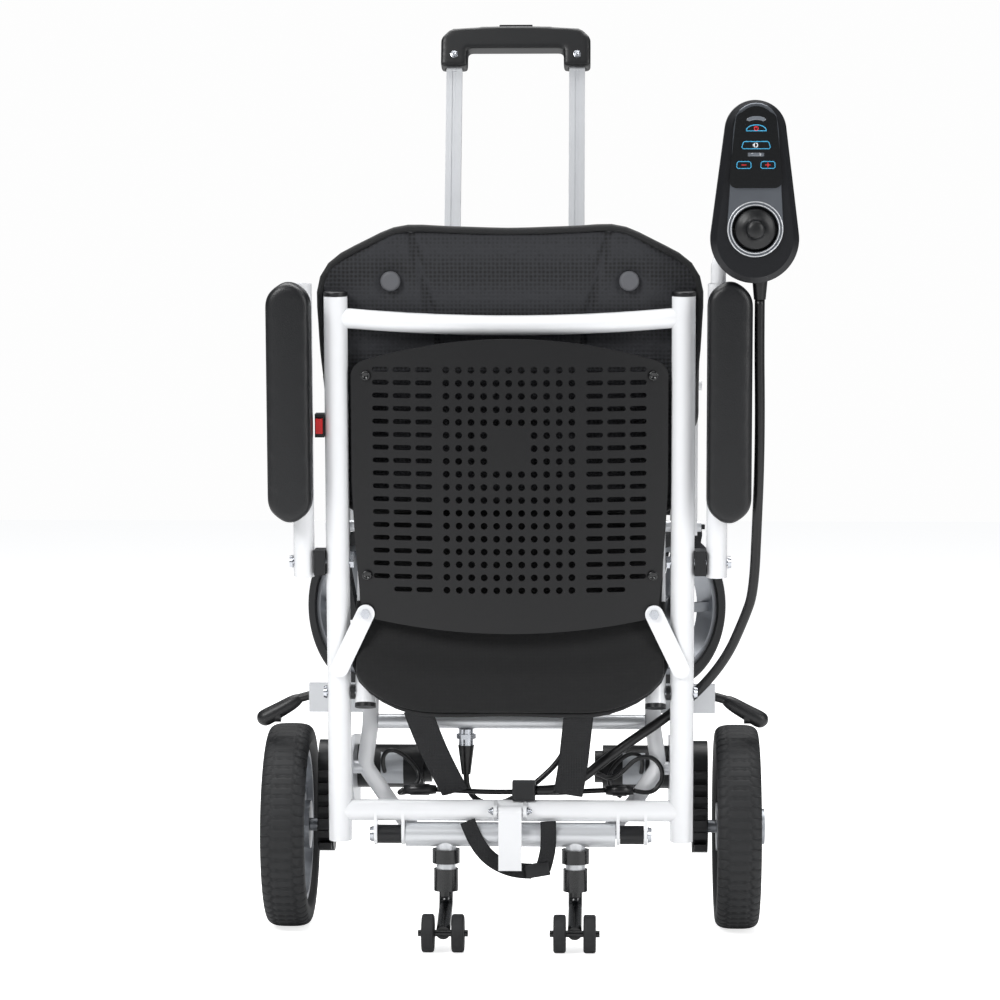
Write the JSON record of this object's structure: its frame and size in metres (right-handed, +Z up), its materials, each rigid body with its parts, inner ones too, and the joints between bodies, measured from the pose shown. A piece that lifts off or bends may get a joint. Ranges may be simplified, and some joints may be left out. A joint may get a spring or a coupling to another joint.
{
  "type": "folding power wheelchair",
  "caption": "Folding power wheelchair standing folded on its drive wheels and anti-tip wheels, with a trolley handle and a joystick.",
  "frame": {"origin": "on the floor under the middle of the drive axle", "axes": "+Z up, +Y the way the rider faces, +X to the rider's right"},
  "size_m": [0.656, 0.4006, 1.1353],
  "materials": {
    "white_paint": "gloss powder coat",
    "black_nylon": "satin moulded",
    "shell_plastic": "fine grained moulded",
    "zinc_steel": "zinc plated",
    "air_mesh": "spacer mesh",
    "seat_fabric": "woven",
    "red_plastic": "moulded",
    "webbing": "woven webbing",
    "black_rubber": "matte",
    "alloy": "satin",
    "black_paint": "gloss powder coat",
    "tyre": "solid tyre",
    "grip_plastic": "moulded",
    "pad_foam": "moulded foam skin",
    "joystick_grey": "satin moulded",
    "joystick_silver": "metallic moulded",
    "keypad_gloss": "gloss",
    "motor_black": "satin"
  },
  "bodies": {
    "back_frame": {"back_tubes": "white_paint", "back_bars": "white_paint", "frame_caps": "black_nylon", "back_shell": "shell_plastic", "frame_fasteners": "zinc_steel", "back_cushion": "air_mesh", "tuft_buttons": "black_nylon", "joystick_cable_lower": "black_rubber"},
    "release_button": {"release_button": "red_plastic"},
    "latch": {"latch_plate": "white_paint"},
    "seat": {"seat_tubes": "white_paint", "seat_caps": "black_nylon", "seat_cushion": "seat_fabric", "trolley_sleeves": "alloy", "battery_box": "black_nylon", "webbing_straps": "webbing"},
    "trolley": {"trolley_rails": "alloy", "trolley_grip": "grip_plastic"},
    "grip_button": {"grip_button": "joystick_grey"},
    "base": {"base_cross_tubes": "alloy", "base_tubes": "white_paint", "motors": "motor_black", "gearboxes": "motor_black", "drive_plates": "alloy", "lead_socket": "zinc_steel", "battery_lead": "black_rubber"},
    "brake_left": {"brake_lever_left": "grip_plastic"},
    "brake_right": {"brake_lever_right": "grip_plastic"},
    "drive_left": {"drive_tyre_left": "tyre", "drive_rim_left": "alloy"},
    "drive_right": {"drive_tyre_right": "tyre", "drive_rim_right": "alloy"},
    "anti_tip_left": {"anti_tip_arm_left": "black_paint"},
    "anti_tip_right": {"anti_tip_arm_right": "black_paint"},
    "anti_tip_wheels_left": {"anti_tip_wheels_left": "tyre"},
    "anti_tip_wheels_right": {"anti_tip_wheels_right": "tyre"},
    "front_legs": {"front_legs": "white_paint"},
    "footrest": {"footrest": "black_nylon"},
    "caster_left": {"caster_fork_left": "black_paint"},
    "caster_right": {"caster_fork_right": "black_paint"},
    "caster_wheel_left": {"caster_tyre_left": "tyre", "caster_rim_left": "alloy"},
    "caster_wheel_right": {"caster_tyre_right": "tyre", "caster_rim_right": "alloy"},
    "arm_left": {"arm_tube_left": "white_paint", "arm_pad_left": "pad_foam"},
    "arm_right": {"arm_tube_right": "white_paint", "arm_pad_right": "pad_foam", "joystick_arm": "white_paint", "joystick_body": "joystick_grey", "joystick_face": "joystick_silver", "keypad_panel": "keypad_gloss", "cable_gland": "black_rubber", "joystick_cable_upper": "black_rubber"},
    "joystick_gimbal": {"joystick_gimbal": "grip_plastic"},
    "joystick_stick": {"joystick_stick": "black_rubber"},
    "power_key": {"power_key": "keypad_gloss"},
    "horn_key": {"horn_key": "keypad_gloss"},
    "minus_key": {"minus_key": "keypad_gloss"},
    "plus_key": {"plus_key": "keypad_gloss"}
  },
  "joints": [
    {"name": "base_fold", "type": "hinge", "parent": "back_frame", "child": "base", "pos_m": [0, -0.1, 0.131], "axis": [1, 0, 0], "range_deg": [-75, 0]},
    {"name": "seat_fold", "type": "hinge", "parent": "back_frame", "child": "seat", "pos_m": [0, -0.1154, 0.30703], "axis": [1, 0, 0], "range_deg": [-75, 0]},
    {"name": "leg_fold", "type": "hinge", "parent": "base", "child": "front_legs", "pos_m": [0, -0.00036, 0.50288], "axis": [1, 0, 0], "range_deg": [0, 75]},
    {"name": "drive_spin_left", "type": "hinge", "parent": "base", "child": "drive_left", "pos_m": [-0.279, 0, 0.127], "axis": [1, 0, 0], "continuous": true},
    {"name": "drive_spin_right", "type": "hinge", "parent": "base", "child": "drive_right", "pos_m": [0.279, 0, 0.127], "axis": [1, 0, 0], "continuous": true},
    {"name": "brake_left_swing", "type": "hinge", "parent": "base", "child": "brake_left", "pos_m": [-0.24, -0.05, 0.298], "axis": [0, 1, 0], "range_deg": [0, 35]},
    {"name": "brake_right_swing", "type": "hinge", "parent": "base", "child": "brake_right", "pos_m": [0.24, -0.05, 0.298], "axis": [0, -1, 0], "range_deg": [0, 35]},
    {"name": "anti_tip_turn_left", "type": "hinge", "parent": "base", "child": "anti_tip_left", "pos_m": [-0.079, -0.1, 0.08], "axis": [0, 0, 1], "range_deg": [0, 180]},
    {"name": "anti_tip_spin_left", "type": "hinge", "parent": "anti_tip_left", "child": "anti_tip_wheels_left", "pos_m": [-0.079, -0.175, 0.023], "axis": [1, 0, 0], "continuous": true},
    {"name": "caster_swivel_left", "type": "hinge", "parent": "front_legs", "child": "caster_left", "pos_m": [-0.215, 0.11464, 0.5], "axis": [0, 0, 1], "continuous": true},
    {"name": "caster_spin_left", "type": "hinge", "parent": "caster_left", "child": "caster_wheel_left", "pos_m": [-0.19025, 0.0899, 0.391], "axis": [0.7071, 0.7071, 0], "continuous": true},
    {"name": "arm_lift_left", "type": "hinge", "parent": "back_frame", "child": "arm_left", "pos_m": [-0.249, -0.12937, 0.46672], "axis": [1, 0, 0], "range_deg": [-83, 0]},
    {"name": "anti_tip_turn_right", "type": "hinge", "parent": "base", "child": "anti_tip_right", "pos_m": [0.079, -0.1, 0.08], "axis": [0, 0, 1], "range_deg": [-180, 0]},
    {"name": "anti_tip_spin_right", "type": "hinge", "parent": "anti_tip_right", "child": "anti_tip_wheels_right", "pos_m": [0.079, -0.175, 0.023], "axis": [1, 0, 0], "continuous": true},
    {"name": "caster_swivel_right", "type": "hinge", "parent": "front_legs", "child": "caster_right", "pos_m": [0.215, 0.11464, 0.5], "axis": [0, 0, 1], "continuous": true},
    {"name": "caster_spin_right", "type": "hinge", "parent": "caster_right", "child": "caster_wheel_right", "pos_m": [0.19025, 0.0899, 0.391], "axis": [0.7071, -0.7071, 0], "continuous": true},
    {"name": "arm_lift_right", "type": "hinge", "parent": "back_frame", "child": "arm_right", "pos_m": [0.249, -0.12937, 0.46672], "axis": [1, 0, 0], "range_deg": [-83, 0]},
    {"name": "footrest_fold", "type": "hinge", "parent": "front_legs", "child": "footrest", "pos_m": [0, 0.12765, 0.517], "axis": [1, 0, 0], "range_deg": [-90, 0]},
    {"name": "trolley_slide", "type": "slide", "parent": "seat", "child": "trolley", "axis": [0, 0.2588, 0.9659], "range_m": [-0.29, 0]},
    {"name": "grip_button_press", "type": "slide", "parent": "trolley", "child": "grip_button", "axis": [0, -0.2588, -0.9659], "range_m": [0, 0.0028], "stiffness_N_per_m": 1500},
    {"name": "release_press", "type": "slide", "parent": "back_frame", "child": "release_button", "axis": [0, 0.9962, 0.0872], "range_m": [0, 0.003], "stiffness_N_per_m": 1500},
    {"name": "latch_swing", "type": "hinge", "parent": "back_frame", "child": "latch", "pos_m": [0, -0.12388, 0.16304], "axis": [1, 0, 0], "range_deg": [-75, 0]},
    {"name": "stick_forward", "type": "hinge", "parent": "arm_right", "child": "joystick_gimbal", "pos_m": [0.29, -0.20335, 0.86479], "axis": [1, 0, 0], "range_deg": [-16, 16], "stiffness_Nm_per_rad": 0.4},
    {"name": "stick_sideways", "type": "hinge", "parent": "joystick_gimbal", "child": "joystick_stick", "pos_m": [0.29, -0.20335, 0.86479], "axis": [0, -0.0872, 0.9962], "range_deg": [-16, 16], "stiffness_Nm_per_rad": 0.4},
    {"name": "power_key_press", "type": "slide", "parent": "arm_right", "child": "power_key", "axis": [0, 0.9962, 0.0872], "range_m": [0, 0.0008], "stiffness_N_per_m": 1500},
    {"name": "horn_key_press", "type": "slide", "parent": "arm_right", "child": "horn_key", "axis": [0, 0.9962, 0.0872], "range_m": [0, 0.0008], "stiffness_N_per_m": 1500},
    {"name": "minus_key_press", "type": "slide", "parent": "arm_right", "child": "minus_key", "axis": [0, 0.9962, 0.0872], "range_m": [0, 0.0008], "stiffness_N_per_m": 1500},
    {"name": "plus_key_press", "type": "slide", "parent": "arm_right", "child": "plus_key", "axis": [0, 0.9962, 0.0872], "range_m": [0, 0.0008], "stiffness_N_per_m": 1500}
  ],
  "couplings": [
    {"joint": "seat_fold", "follows": "base_fold", "ratio": 1},
    {"joint": "leg_fold", "follows": "base_fold", "ratio": -1}
  ]
}
